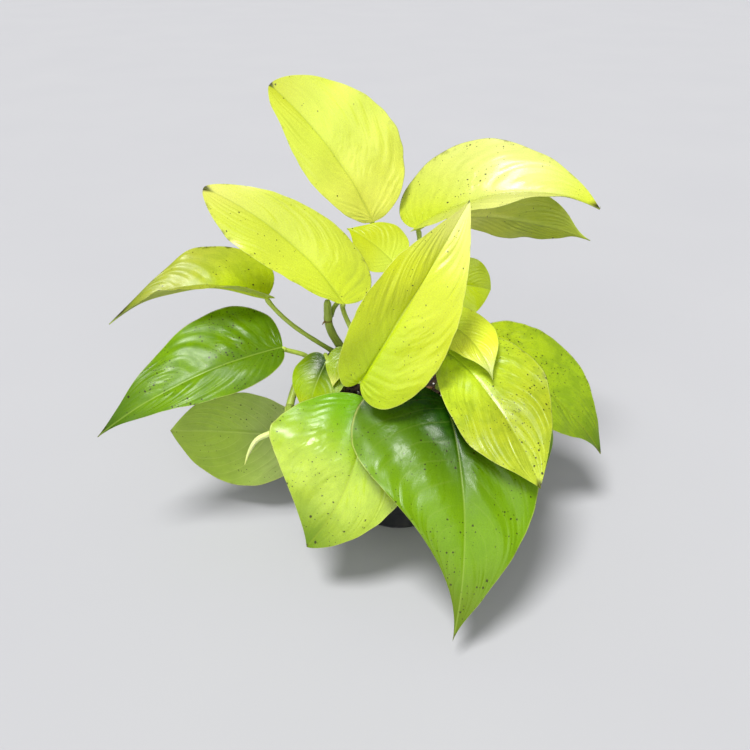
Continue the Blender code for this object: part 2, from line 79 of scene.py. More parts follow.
# base: where the petiole joins; tip: the pointed end; faces: the way the
# upper surface looks.  In mm, arch raises the midrib, sweep bends it to one
# side, curl turns the margins down and hook the tip; lean is how much the
# stalk arrives along the blade and not from below.
# left and right are the two halves of the blade beside the midrib: w is the
# half width in mm, fold the angle a half is lifted by, lobe how far it
# reaches back past the base, widest where it is broadest, drip and point
# the drawn-out end, full how round the shoulder is.
LEAVES = {
    "crown": dict(
        base=(-15, 42, 158), tip=(-69, 52, 229), faces=(0.1, -0.9, 0.45),
        arch=6, sweep=4, curl=4,
        left=dict(w=25, fold=38, lobe=-0.02, widest=0.45, drip=0, point=0.25),
        right=dict(w=36, fold=12, lobe=0.03, widest=0.42, drip=0, point=0.3, full=0.26)),
    "upper_left": dict(
        base=(-30, -10, 132), tip=(-98, 0, 190), faces=(0.1, -0.75, 0.7),
        arch=6, sweep=5, curl=3,
        left=dict(w=21, fold=20, lobe=-0.05, widest=0.6, drip=0, point=0.3, full=0.24),
        right=dict(w=24, fold=14, lobe=0.08, widest=0.22, drip=0, point=0.2, full=0.3)),
    "far_left": dict(
        base=(-72, 10, 127), tip=(-155, -5, 118), faces=(-0.25, -0.05, 1),
        arch=13, curl=3, lean=1.4,
        left=dict(w=20, fold=31, drip=0.4),
        right=dict(w=28, fold=40, lobe=0.05, widest=0.25, drip=0.38)),
    "mid_left": dict(
        base=(-63, -10, 107), tip=(-157, -45, 73), faces=(-0.2, -0.45, 0.85),
        arch=10, curl=3, lean=1.2,
        left=dict(w=16, fold=-8, lobe=0, widest=0.3, drip=0.2),
        right=dict(w=32, fold=18, lobe=0.03, widest=0.24, drip=0.22, point=0.14)),
    "low_left": dict(
        base=(-53, -20, 56), tip=(-128, -15, 57), faces=(-0.1, 1, -0.15),
        arch=3, curl=3,
        left=dict(w=24, fold=8, widest=0.5, drip=0.06, point=0.2),
        right=dict(w=36, fold=8, widest=0.5, drip=0.04, point=0.25)),
    "front_left": dict(
        base=(-19, -42, 95), tip=(-48, -84, 34), faces=(0, -0.75, 0.65),
        arch=10, sweep=-8, curl=4,
        left=dict(w=28, fold=4, lobe=0.1, widest=0.4, drip=0.02, point=0.16),
        right=dict(w=45, fold=8, lobe=0.10, widest=0.33, drip=0.1, point=0.18)),
    "front": dict(
        base=(21, -51, 99), tip=(22, -126, 14), faces=(0, -0.6, 0.8),
        arch=12, sweep=-6, curl=5,
        left=dict(w=37, fold=2, lobe=0.22, widest=0.32, drip=0.16, point=0.06, full=0.26),
        right=dict(w=50, fold=8, lobe=0.25, widest=0.12, drip=0.36, point=0.04, full=0.24)),
    "centre": dict(
        base=(-21, -60, 115), tip=(29, -32, 194), faces=(0.1, -0.9, 0.4),
        arch=6, curl=3,
        left=dict(w=23, fold=30, lobe=0.15, widest=0.36, drip=0.12, point=0.12),
        right=dict(w=28, fold=14, lobe=0.18, widest=0.26, drip=0.08, point=0.2)),
    "right_arch": dict(
        base=(9, 34, 157), tip=(102, 15, 176), faces=(0.3, -0.2, 1),
        arch=14, curl=5, hook=2,
        left=dict(w=40, fold=38, lobe=0.2, widest=0.3, drip=0.08, point=0.14),
        right=dict(w=24, fold=22, lobe=0.1, widest=0.4)),
    "right_back": dict(
        base=(28, 45, 161), tip=(108, 45, 146), faces=(0.2, 0.9, 0.5),
        arch=6,
        left=dict(w=18, fold=10, widest=0.5, drip=0.2),
        right=dict(w=22, fold=10, widest=0.5, drip=0.2)),
    "middle_back": dict(
        base=(-3, 10, 145), tip=(-29, 23, 161), faces=(0, 0.1, 1),
        arch=2,
        left=dict(w=15, fold=-20, lobe=0.05),
        right=dict(w=20, fold=35, lobe=0.05)),
    "behind_right": dict(
        base=(22, 16, 132), tip=(49, 15, 129), faces=(0.2, -0.8, 0.6),
        arch=3, curl=2,
        left=dict(w=16, fold=30, widest=0.5, drip=0.06, point=0.3),
        right=dict(w=17, fold=4, widest=0.5, drip=0.06, point=0.3)),
    "small_right": dict(
        base=(15, -24, 131), tip=(42, -58, 115), faces=(0.3, -0.6, 0.8),
        arch=4, sweep=-4,
        left=dict(w=16, fold=10, widest=0.4, drip=0.2),
        right=dict(w=14, fold=10, widest=0.4, drip=0.2)),
    "mid_right": dict(
        base=(21, -34, 118), tip=(62, -94, 78), faces=(0.2, -0.65, 0.75),
        arch=6, sweep=-3, curl=3,
        left=dict(w=31, fold=8, lobe=0.06, widest=0.34, drip=0.1, point=0.14),
        right=dict(w=24, fold=8, lobe=0.05, widest=0.5, drip=0.08, point=0.16)),
    "far_right": dict(
        base=(43, 5, 98), tip=(114, -15, 41), faces=(0.4, -0.6, 0.8),
        arch=8, sweep=-3, curl=3,
        left=dict(w=31, fold=10, lobe=0.14, drip=0.08, point=0.12),
        right=dict(w=24, fold=10, lobe=0.1, widest=0.4, drip=0.2)),
    "low_right": dict(
        base=(43, -24, 95), tip=(76, -42, 43), faces=(0.3, -0.6, 0.8),
        arch=6, sweep=-5, curl=3,
        left=dict(w=16, fold=30),
        right=dict(w=20, fold=8)),
    "shade_left": dict(
        base=(-40, -16, 101), tip=(-50, -32, 76), faces=(-0.3, -0.75, 0.5),
        arch=3, curl=3,
        left=dict(w=15, widest=0.28, drip=0.1, lobe=0.3),
        right=dict(w=15, widest=0.28, drip=0.1, lobe=0.3)),
    "back_low": dict(
        base=(8, 42, 106), tip=(20, 93, 54), faces=(0.1, 0.7, 0.7),
        arch=8, sweep=3, curl=3,
        left=dict(w=27, fold=12, lobe=0.14),
        right=dict(w=25, fold=10, lobe=0.16, widest=0.32)),
    "back_left": dict(
        base=(-30, 34, 122), tip=(-80, 74, 126), faces=(-0.2, 0.3, 1),
        arch=9, sweep=-3, curl=3,
        left=dict(w=22, fold=14),
        right=dict(w=20, fold=16)),
    "small_left": dict(
        base=(-30, -18, 110), tip=(-36, -30, 94), faces=(-0.3, -0.8, 0.6),
        arch=2, curl=1,
        left=dict(w=6),
        right=dict(w=7)),
}

# Each vine: its root in the soil, then the points its stem grows through.
VINES = {
    "front": dict(r=2.6, path=[(-17, -9), (-17, -9, 81), (-20, -13, 96), (-22, -17, 110)]),
    "left": dict(r=2.8, path=[(-33, -5), (-33, -5, 81), (-38, -4, 91),
                              (-47, -3, 95), (-54, -6, 88), (-59, -15, 79), (-61, -26, 71)]),
    "back_left": dict(r=2.8, path=[(-25, 13), (-25, 13, 81), (-32, 12, 93),
                                   (-39, 11, 108), (-40, 12, 124)]),
    "back": dict(r=2.8, path=[(7, 17), (7, 17, 81), (8, 18, 100), (10, 20, 116), (11, 22, 130)]),
    "right": dict(r=2.8, path=[(22, -6), (22, -6, 81), (25, -8, 92), (31, -9, 103)]),
}

# Each petiole: the vine it grows from, how far along it, and the handle
# point that its curve first heads for.
PETIOLES = {
    "crown": ("back", 0.72, (4, 44, 124)),
    "upper_left": ("front", 0.8, (-24, -5, 112)),
    "far_left": ("back_left", 0.5, (-48, 5, 104)),
    "mid_left": ("left", 0.55, (-50, -6, 101)),
    "low_left": ("left", 0.93, (-60, -36, 78)),
    "front_left": ("front", 0.46, (-19, -24, 92)),
    "front": ("right", 0.46, (23, -22, 92)),
    "centre": ("front", 0.62, (-26, -28, 98)),
    "right_arch": ("back", 0.86, (3, 30, 128)),
    "right_back": ("back", 0.95, (13, 36, 142)),
    "middle_back": ("back", 0.62, (-1, 13, 116)),
    "behind_right": ("back", 0.8, (17, 14, 120)),
    "small_right": ("right", 0.82, (21, -11, 114)),
    "mid_right": ("right", 0.6, (23, -18, 103)),
    "far_right": ("right", 0.5, (30, 3, 92)),
    "low_right": ("right", 0.72, (37, -12, 96)),
    "shade_left": ("left", 0.42, (-42, -6, 104)),
    "back_low": ("back", 0.5, (8, 28, 106)),
    "back_left": ("back_left", 0.85, (-36, 22, 120)),
    "small_left": ("front", 0.93, (-27, -12, 112)),
}

# The furled new leaf at the end of the left vine.
NEW_LEAF_PATH = [(-61.1, -26.6, 70.6), (-62.4, -29.8, 68.2),
                 (-69, -31, 66.2), (-77, -31, 62), (-82, -31, 54), (-85, -32, 46)]
NEW_LEAF_RADIUS = 1.9
NEW_LEAF_SLIMMER = 0.8      # than its plain tube in the frame

# Leaf colours, as sRGB hex: at the base, in the middle and at the tip, then
# how mottled the blade is with deeper green, how thickly it is speckled and
# how dry and brown its tip and margin are, each 0 to 1.  The three colours
# were matched to the lit leaves, so besides each leaf's own colour they hold
# painted shade and painted light.  Front's deep base is partly its own deep
# green and partly painted shadow from the centre leaf above.  Shade_left's
# dark base is painted shade under the leaves above.  Crown's paler base is
# painted light, and right_back's bright colours paint in light shining
# through its underside.
LEAF_LOOKS = {
    # crown: its base colour is brightened, painted light
    "crown": ("fafc6e", "e6f256", "d0d835", 0.10, 0.06, 0.3),
    "upper_left": ("eefc44", "d9e545", "e6e769", 0.10, 0.10, 0.5),
    "far_left": ("c9e000", "b5bd3c", "73811d", 0.25, 0.30, 1.0),
    "mid_left": ("5c8000", "77a200", "385800", 0.50, 1.00, 0.5),
    "low_left": ("829065", "8ab000", "769800", 0.35, 0.30, 0.3),
    "front_left": ("79b600", "c3dc41", "719500", 0.22, 0.40, 0.2),
    # front: a deep green base, partly painted shadow under the centre leaf
    "front": ("013b00", "78a400", "677d00", 0.22, 0.45, 0.3),
    "centre": ("c2db11", "d9e41e", "fcfc93", 0.10, 0.12, 0.2),
    "right_arch": ("d3e135", "e7ea84", "dbe732", 0.12, 0.35, 0.5),
    # right_back: bright colours that paint in light through its underside
    "right_back": ("fcfc73", "b3c200", "b3c100", 0.25, 0.10, 0.3),
    "middle_back": ("e3f350", "cdd823", "cbda00", 0.10, 0.05, 0.0),
    "behind_right": ("afc500", "bbcf00", "bfd333", 0.15, 0.05, 0.0),
    "small_right": ("e4fc3c", "f2fc3c", "ceda82", 0.05, 0.03, 0.0),
    "mid_right": ("d9f530", "b9c823", "d3e33f", 0.30, 0.90, 0.5),
    "far_right": ("c7dc11", "a4c418", "628200", 0.35, 0.80, 0.5),
    "low_right": ("5c8010", "6c9014", "648810", 0.40, 0.30, 0.3),
    # shade_left: a dark base, painted shade under the leaves above
    "shade_left": ("1f3c00", "a2c200", "eeef00", 0.30, 0.05, 0.0),
    "back_low": ("90b020", "b0c834", "a4bc30", 0.30, 0.30, 0.4),
    "back_left": ("a0bc2a", "bcd038", "acc434", 0.25, 0.20, 0.3),
    "small_left": ("7b9800", "a0bb00", "fcfc87", 0.05, 0.00, 0.0),
}
MOTTLE_GREEN = "4c7400"
UNDERSIDE = "bccc60"
SPECK_BROWN = "2c2408"


# ------------------------------------------------------------ small tools
def linear(hex_code):
    """Turn an sRGB hex code into linear red, green, blue and an alpha of 1."""
    parts = [int(hex_code[i:i + 2], 16) / 255 for i in (0, 2, 4)]
    parts = [p / 12.92 if p <= 0.04045 else ((p + 0.055) / 1.055) ** 2.4 for p in parts]
    return (*parts, 1.0)


def unit(vector):
    """Scale a vector, or an array of vectors, to length one."""
    vector = np.asarray(vector, float)
    return vector / np.linalg.norm(vector, axis=-1, keepdims=True)


def ease(low, high, x):
    """Rise smoothly from 0 at low to 1 at high: 3t^2 - 2t^3."""
    t = np.clip((x - low) / (high - low), 0, 1)
    return t * t * (3 - 2 * t)


def seed_of(name):
    """A steady number for each name, so every piece differs but repeats."""
    return sum((i + 1) * ord(letter) for i, letter in enumerate(name)) % 9973


def wander(seed, *axes, terms=5):
    """A smooth random field: a sum of sines in random directions.

    Each term has its own direction, a frequency about 1 per unit and a
    phase, all drawn from the seed.  The result runs from about -1 to 1.
    """
    rng = np.random.default_rng(seed)
    total = 0.0
    for _ in range(terms):
        turn = rng.normal(size=len(axes))
        turn *= rng.uniform(0.6, 1.5) / np.linalg.norm(turn)
        wave = sum(k * axis for k, axis in zip(turn, axes))
        total = total + np.sin(2 * math.pi * wave + rng.uniform(0, 6.28))
    return total / math.sqrt(terms * 1.2)


def placed(name, data):
    """Link new data into the scene as an object at the origin."""
    obj = bpy.data.objects.new(name, data)
    bpy.context.scene.collection.objects.link(obj)
    return obj


def skin(name, rings, poles=None, **fields):
    """Close a stack of rings of points into one mesh object.

    rings is (n, m, 3) in mm.  Each ring closes on itself and is joined to
    the next; poles gives a point that closes each end with a fan, and
    without poles the last ring joins the first.  fields are arrays (n, m, k)
    kept as vertex attributes.  Faces are turned to point outwards, by the
    sign of the enclosed volume.
    """
    n, m = rings.shape[:2]
    verts = rings.reshape(-1, 3)
    row = np.arange(n if poles is None else n - 1)[:, None]
    col = np.arange(m)[None, :]
    here, there = row * m, (row + 1) % n * m
    after = (col + 1) % m
    quads = np.stack([here + col, here + after, there + after, there + col], -1).reshape(-1, 4)
    caps = np.zeros((0, 3), int)
    if poles is not None:
        verts = np.vstack([verts, poles])
        col = col[0]
        after = after[0]
        first = np.stack([np.full(m, n * m), after, col], -1)
        last = (n - 1) * m
        final = np.stack([np.full(m, n * m + 1), last + col, last + after], -1)
        caps = np.vstack([first, final])
    split = np.vstack([quads[:, [0, 1, 2]], quads[:, [0, 2, 3]], caps])
    a, b, c = (verts[split[:, k]] for k in range(3))
    if np.einsum("ij,ij->", a, np.cross(b, c)) < 0:
        quads = quads[:, ::-1]
        caps = caps[:, ::-1]
    mesh = bpy.data.meshes.new(name)
    corners = np.concatenate([quads.ravel(), caps.ravel()]).astype(np.int32)
    sizes = np.concatenate([np.full(len(quads), 4), np.full(len(caps), 3)])
    starts = np.concatenate([[0], np.cumsum(sizes)[:-1]]).astype(np.int32)
    mesh.vertices.add(len(verts))
    mesh.vertices.foreach_set("co", (verts * MM).astype(np.float32).ravel())
    mesh.loops.add(len(corners))
    mesh.loops.foreach_set("vertex_index", corners)
    mesh.polygons.add(len(sizes))
    mesh.polygons.foreach_set("loop_start", starts)
    mesh.update(calc_edges=True)
    mesh.shade_smooth()
    for field, values in fields.items():
        values = values.reshape(n * m, -1)
        if poles is not None:
            ends = [values[:m].mean(0), values[-m:].mean(0)]
            values = np.vstack([values, ends])
        slot = mesh.attributes.new(field, "FLOAT_VECTOR", "POINT")
        slot.data.foreach_set("vector", values.astype(np.float32).ravel())
    return placed(name, mesh)


def dress(obj, mat, slot, *nodes):
    """Give a piece its material, its body and what it replaces; its slot is not used."""
    obj.data.materials.append(mat)
    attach(obj, "root")
    if nodes:
        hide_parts(*nodes)
    return obj


def tube_rings(path, outline):
    """Carry an outline along a path.

    outline is (n, m, 2): at each of the n path points, m points around it
    in mm, across and up.  The frame is carried along without twisting, by
    removing the new tangent's share from the old up direction.
    """
    path = np.asarray(path, float)
    tangent = unit(np.gradient(path, axis=0))
    up = np.array([0.0, 0.0, 1.0])
    if abs(tangent[0] @ up) > 0.9:
        up = np.array([0.0, -1.0, 0.0])
    ups = []
    for direction in tangent:
        up = unit(up - (up @ direction) * direction)
        ups.append(up)
    ups = np.array(ups)
    sides = np.cross(tangent, ups)
    return (path[:, None] + outline[..., :1] * sides[:, None] + outline[..., 1:] * ups[:, None])


# ------------------------------------------------------------ leaf surface
def bezier(points, t):
    """Return points of a cubic Bezier curve at parameters t."""
    p = np.asarray(points, float)
    t = t[..., None]
    s = 1.0 - t
    return (s ** 3 * p[0] + 3 * s * s * t * p[1] + 3 * s * t * t * p[2] + t ** 3 * p[3])


def half_outline(u, half):
    """Outline of half a blade: (distance along, distance out), each 0 to 1.

    One curve runs from the base, back round the lobe, to the widest point,
    and a second one from there to the drawn-out tip.
    """
    widest, full = half["widest"], half["full"]
    rear = bezier([(0, 0), (-half["lobe"], 0.34), (widest - full, 1),
                   (widest, 1)], np.clip(u / UM, 0, 1))
    front = bezier([(widest, 1), (widest + full, 1), (1 - half["drip"], half["point"]), (1, 0)],
                   np.clip((u - UM) / (1 - UM), 0, 1))
    return np.where((u < UM)[..., None], rear, front)


def blade_frame(leaf):
    """Return the base, the chord, the facing normal and the side."""
    base = np.array(leaf["base"], float)
    chord = np.array(leaf["tip"], float) - base
    along = unit(chord)
    facing = np.array(leaf["faces"], float)
    facing = unit(facing - (facing @ along) * along)
    return base, chord, facing, np.cross(along, facing)


def blade_points(spec, u, v):
    """Map u (base to tip) and v (-1 to 1 across) to points in mm.

    The midrib is the chord from base to tip, raised by an arch and swept to
    one side.  Each half is drawn out sideways to its outline, turned up by
    its fold angle, and curls back down with the square of the distance.
    Also returns each point's place along the midrib and across it, in mm.
    """
    leaf = {**LEAF_DEFAULTS, **spec}
    left = {**HALF_DEFAULTS, **leaf["left"]}
    right = {**HALF_DEFAULTS, **leaf["right"]}
    base, chord, facing, side = blade_frame(leaf)
    length = np.linalg.norm(chord)
    is_left = v < 0
    out = np.abs(v)
    edge = np.where(is_left[..., None], half_outline(u, left), half_outline(u, right))
    station = u + (edge[..., 0] - u) * out
    width = np.where(is_left, left["w"], right["w"])
    across = edge[..., 1] * out * width

    def bump(x):
        y = np.clip(x, 0, 1)
        return 4 * y * (1 - y)

    def midrib(x):
        lift = leaf["arch"] * bump(x)
        lift = lift - leaf["hook"] * np.clip((x - 0.8) / 0.2, 0, 1) ** 2
        return (base + chord * np.clip(x, 0, 1)[..., None] + facing * lift[..., None]
                + side * (leaf["sweep"] * bump(x))[..., None])

    inside = np.clip(station, 0, 1)
    near = np.clip(inside, 0.03, 0.97)
    tangent = unit(midrib(near + 0.03) - midrib(near - 0.03))
    beyond = ((station - inside) * length)[..., None]
    spine = midrib(station) + tangent * beyond
    sideways = unit(np.cross(tangent, facing))
    upward = np.cross(sideways, tangent)
    fold = np.radians(np.where(is_left, left["fold"], right["fold"]))
    shift = across * np.cos(fold) * np.where(is_left, -1, 1)
    lift = across * np.sin(fold) - leaf["curl"] * (across / width) ** 2
    points = spine + sideways * shift[..., None] + upward * lift[..., None]
    return points, station * length, across * np.where(is_left, -1, 1)


LEAF_ROWS = 150
LEAF_COLUMNS = 76           # even, so that one column is the midrib
VEINS = 11                  # side veins on each half
VEIN_RUN = 0.46             # how far towards the tip a side vein runs
RIM_WAVE = 0.9              # waviness of the margin
QUILT = 0.38                # rise of the blade between two side veins
PUCKER = 0.16               # wrinkles that run with the veins, in patches
SWELL = 0.6                 # broad, shallow waves over the whole blade
NOTCH = 0.22                # how far the margin strays in and out
MIDRIB_GROOVE = 0.3         # depth of the fold line on the upper side
RIM_COLUMN = 0.990          # share of the way out where the margin rounds off
BLADE = 0.55                # thickness of the blade in its middle
VEIN_RIDGE = 0.26           # rise of the side veins and of the midrib on the
MIDRIB_RIDGE = 1.1          # under side
FULL_LENGTH = 80            # a blade shorter than this has a flatter relief
MIDDLE = 0.6                # where along the blade its middle tint lies


def leaf_piece(name, spec, mat, slot):
    """One blade: an upper and an under skin that meet in a thin margin.

    The upper skin is the smooth blade, pillowed between its side veins by
    the sine of the vein phase, puckered along them by a smooth random
    field, and grooved along the midrib by a bell curve.  Its margin strays
    a little in, out, up and down.  The under skin lies a blade's thickness
    below, with the midrib and veins standing proud.
    """
    seed = seed_of(name)
    looks = LEAF_LOOKS[name]
    rows = 0.5 - 0.5 * np.cos(np.linspace(0, math.pi, LEAF_ROWS + 1))
    rows = 0.55 * rows + 0.45 * np.linspace(0, 1, LEAF_ROWS + 1)
    columns = np.linspace(-1, 1, LEAF_COLUMNS + 1)
    columns = np.sign(columns) * np.abs(columns) ** 1.2
    columns[[1, -2]] = -RIM_COLUMN, RIM_COLUMN
    u, v = np.meshgrid(rows[1:-1], columns, indexing="ij")
    small = min(1.0, np.linalg.norm(np.subtract(spec["tip"], spec["base"])) / FULL_LENGTH)
    out = np.abs(v)
    side = np.sign(v)

    points, along, across = blade_points(spec, u, v)
    ahead, behind = (blade_points(spec, u + step, v)[0] for step in (0.004, -0.004))
    inner = np.clip(v, -0.99, 0.99)
    beside, before = (blade_points(spec, u, inner + step)[0] for step in (0.01, -0.01))
    du, dv = ahead - behind, beside - before
    normal = np.cross(dv, du)
    normal = unit(normal + 1e-9)
    # The veins leave the midrib towards the tip and bend along the margin.
    phase = VEINS * (u - VEIN_RUN * out ** 1.25) + np.where(v < 0, 0.35, 0)
    phase = phase + 0.10 * wander(seed, along / 34, across / 28)
    body = ease(0, 0.1, u) * ease(1.0, 0.6, u)
    on_blade = body * ease(0.02, 0.2, out) * ease(1.0, 0.8, out)
    patch = ease(-0.6, 1.0, wander(seed + 1, along / 38, across / 30))
    pillow = np.abs(np.sin(math.pi * phase)) ** 0.7
    fine = wander(seed + 2, phase * 1.1, across / 24, terms=9)
    relief = QUILT * pillow + PUCKER * fine
    relief = relief * (0.35 + 0.65 * patch) * on_blade * small
    relief += SWELL * wander(seed + 3, along / 36, across / 24) * body * small
    groove = np.exp(-(across / 0.7) ** 2) * ease(1.0, 0.4, u)
    groove *= ease(0, 0.06, u)
    relief -= MIDRIB_GROOVE * groove * small
    wave = np.sin(2 * math.pi * (2.4 * u + seed % 7 / 7) + side * 1.3)
    wave += 0.5 * np.sin(2 * math.pi * (5.3 * u + seed % 5 / 5) - side)
    relief += RIM_WAVE * small * wave * out ** 3 * np.sin(math.pi * u)
    notch = NOTCH * small * wander(seed + 4, along / 11, side) * body
    points = points + unit(dv) * (side * notch * out ** 4)[..., None]
    upper = points + normal * relief[..., None]
    rim = np.sqrt(np.clip(1 - out ** 6, 0, 1))
    vein = np.exp(-((phase - np.round(phase)) / 0.12) ** 2) * on_blade
    thick = BLADE * rim + VEIN_RIDGE * vein
    keel = np.exp(-(across / 1.2) ** 2) * ease(1.05, 0.0, u)
    thick += MIDRIB_RIDGE * keel * small
    lower = upper - normal * (thick * rim + 0.02)[..., None]
    rings = np.concatenate([upper, lower[:, -2:0:-1]], axis=1)
    base, chord, _, _ = blade_frame(spec)
    poles = np.array([base, base + chord])

    def both(top, under=None):
        under = top if under is None else under
        return np.concatenate([top, under[:, -2:0:-1]], axis=1)

    zero = np.zeros_like(u)
    # Base, middle and tip colours, which hold painted shade and painted light as well as the
    # leaf's own colour.  The base colour holds over the first tenth, which carries the painted
    # shadow at a leaf's base further down the blade.
    tints = [np.array(linear(code)[:3]) for code in looks[:3]]
    share = np.clip(u, 0, 1)[..., None]
    tint = np.where(share < MIDDLE, tints[0] + (tints[1] - tints[0]) * ease(0.10, MIDDLE, share),
                    tints[1] + (tints[2] - tints[1]) * ease(MIDDLE, 1, share))
    dry = ease(1.0 - 0.15 * looks[5], 1.0 - 0.05 * looks[5], share)
    tint = tint + (np.array(linear(SPECK_BROWN)[:3]) - tint) * dry
    # Whole steps of the seed give each leaf its own stretch of each pattern.
    own = seed % 97
    inward = out * ease(1.0, 0.96, u)
    blade = both(np.stack([along + 200 * own, across, inward], -1))
    veins = both(np.stack([phase + 20 * own, on_blade, zero], -1),
                 np.stack([phase + 20 * own, on_blade, zero + 1], -1))
    traits = np.stack([zero + trait for trait in looks[3:6]], -1)
    piece = skin(name + "_leaf", rings, poles, blade=blade, veins=veins,
                 tint=both(tint), traits=both(traits))
    return dress(piece, mat, slot, "leaf_" + name)


# ------------------------------------------------------------------- stems
def smooth_path(points, count):
    """Read evenly many points from a Catmull-Rom curve through points."""
    p = np.asarray(points, float)
    p = np.vstack([2 * p[0] - p[1], p, 2 * p[-1] - p[-2]])
    spans = len(p) - 3
    where = np.linspace(0, spans, count)
    index = np.minimum(where.astype(int), spans - 1)
    t = (where - index)[:, None]
    a, b, c, d = (p[index + k] for k in range(4))
    return 0.5 * (2 * b + (c - a) * t + (2 * a - 5 * b + 4 * c - d) * t ** 2
                  + (3 * b - a - 3 * c + d) * t ** 3)


def vine_line(vine, count=40):
    """The centre line of a vine, with its root set to the root depth."""
    root = (*vine["path"][0], ROOT_BOTTOM)
    return smooth_path([root] + vine["path"][1:], count)


def vine_joints(vine_name):
    """How far along a vine its stalks leave it, as shares of its length."""
    return [share for vine, share, _ in PETIOLES.values() if vine == vine_name]


def length_along(path):
    """The length of a path up to each of its points."""
    steps = np.linalg.norm(np.diff(path, axis=0), axis=1)
    return np.concatenate([[0], np.cumsum(steps)])


def turns(sides):
    """Angles that part a full turn into equal steps."""
    return np.linspace(0, 2 * math.pi, sides + 1)[:-1]


def circle(radius, turn):
    """Points at a radius and a turn: the radius times cosine and sine."""
    return np.stack([radius * np.cos(turn), radius * np.sin(turn)], -1)


def blend_colours(codes, share):
    """Run through a list of hex colours as share goes from 0 to 1."""
    stops = np.array([linear(code)[:3] for code in codes])
    places = np.linspace(0, 1, len(codes))
    return np.stack([np.interp(share, places, stops[:, k]) for k in range(3)], -1)


def stem_skin(name, path, around, radius, colours, scar=0.0):
    """A closed stem: its radius at each point of a path and each turn.

    Its vertices keep the mm along it, the turn around it, how scarred it is
    and a tint, which runs through the colours from its start to its end.
    """
    shape = len(path), len(around)
    share = np.linspace(0, 1, len(path))
    scar = np.broadcast_to(scar, len(path))
    stem = [np.broadcast_to(field, shape) for field in
            (length_along(path)[:, None], around, scar[:, None])]
    tint = blend_colours(colours, share)[:, None]
    return skin(name, tube_rings(path, circle(radius, around)),
                path[[0, -1]], stem=np.stack(stem, -1), tint=np.broadcast_to(tint, (*shape, 3)))


def petiole_piece(name, mat):
    """One leaf stalk, from inside its vine to under its blade.

    The path is one cubic Bezier curve.  The stalk starts broad, as the
    sheath that clasps the vine, thins, and swells again into the short
    joint under the blade.  Its upper side is grooved: the radius dips by a
    bell curve around the top, most strongly over the sheath.
    """
    vine_name, share, handle = PETIOLES[name]
    vine = VINES[vine_name]
    line = vine_line(vine)
    index = int(round(share * (len(line) - 1)))
    joint = line[index]
    growth = unit(line[min(index + 1, len(line) - 1)] - line[index - 1])
    leaf = {**LEAF_DEFAULTS, **LEAVES[name]}
    base, chord, facing, side = blade_frame(leaf)
    rise = unit(chord + facing * 4 * leaf["arch"] + side * 4 * leaf["sweep"])
    above = unit(facing - (facing @ rise) * rise)
    end = base - above * (LEAF_THICKNESS + 0.7) - rise * 0.3
    out = unit(np.asarray(handle, float) - joint)
    out = unit(out - (out @ growth) * growth)
    start = joint + out * (vine["r"] + 1.0)
    reach = np.linalg.norm(end - start) * PETIOLE_ARRIVAL
    last = end - unit(above + leaf["lean"] * rise) * reach
    t = np.linspace(0, 1, 52)
    path = bezier([start, handle, last, end], t)
    path = np.vstack([joint + out * 0.8, joint + out * 2.2, path,
                      base - above * 0.45 + rise * 0.7])
    share = np.linspace(0, 1, len(path))
    size = 0.7 if name == "small_left" else 1.0
    radius = PETIOLE_RADIUS * size * (
        0.98 + 0.30 * ease(0.22, 0.0, share) + 0.16 * ease(0.86, 0.95, share)
        - 0.30 * ease(0.96, 1.0, share) - 0.08 * share)
    around = turns(24)
    top = np.arctan2(np.sin(around - math.pi / 2), np.cos(around - math.pi / 2))
    dip = 0.10 + 0.22 * ease(0.45, 0.0, share)
    shape = 1 - dip[:, None] * np.exp(-(top / 0.42) ** 2)
    shape = shape + 0.03 * wander(seed_of(name), share[:, None] * 5,
                                  np.cos(around), np.sin(around))
    piece = stem_skin(name + "_stalk", path, around, radius[:, None] * shape,
                      STALK_TINTS.get(name, STALK_GREEN))
    return dress(piece, mat, "stem", "petiole_" + name)


def vine_piece(name, mat):
    """One vine: a round stem with a thicker ring and a scar at each joint.

    The radius tapers, and swells at the joints by a bell curve about 3 mm
    wide.  A joint sits wherever a stalk leaves, and low down near the soil.
    """
    vine = VINES[name]
    path = vine_line(vine, VINE_POINTS)
    share = np.linspace(0, 1, len(path))
    along = length_along(path)
    swell = np.zeros(len(path))
    scar = np.zeros(len(path))
    for joint in vine_joints(name) + [LOWEST_JOINT]:
        away = along - np.interp(joint, share, along)
        swell += 0.13 * np.exp(-((away + 0.8) / 1.6) ** 2)
        scar += np.exp(-((away + 2.2) / 0.45) ** 2)
    radius = vine["r"] * (1 - 0.25 * share) * (1 + np.minimum(swell, 0.2))
    radius *= 1 - 0.35 * ease(0.965, 1.0, share)
    around = turns(28)
    shape = 1 + 0.035 * wander(seed_of(name), along[:, None] / 9, np.cos(around), np.sin(around))
    piece = stem_skin(name + "_vine", path, around, radius[:, None] * shape,
                      VINE_GREEN, np.minimum(scar, 1))
    return dress(piece, mat, "stem", "vine_" + name)


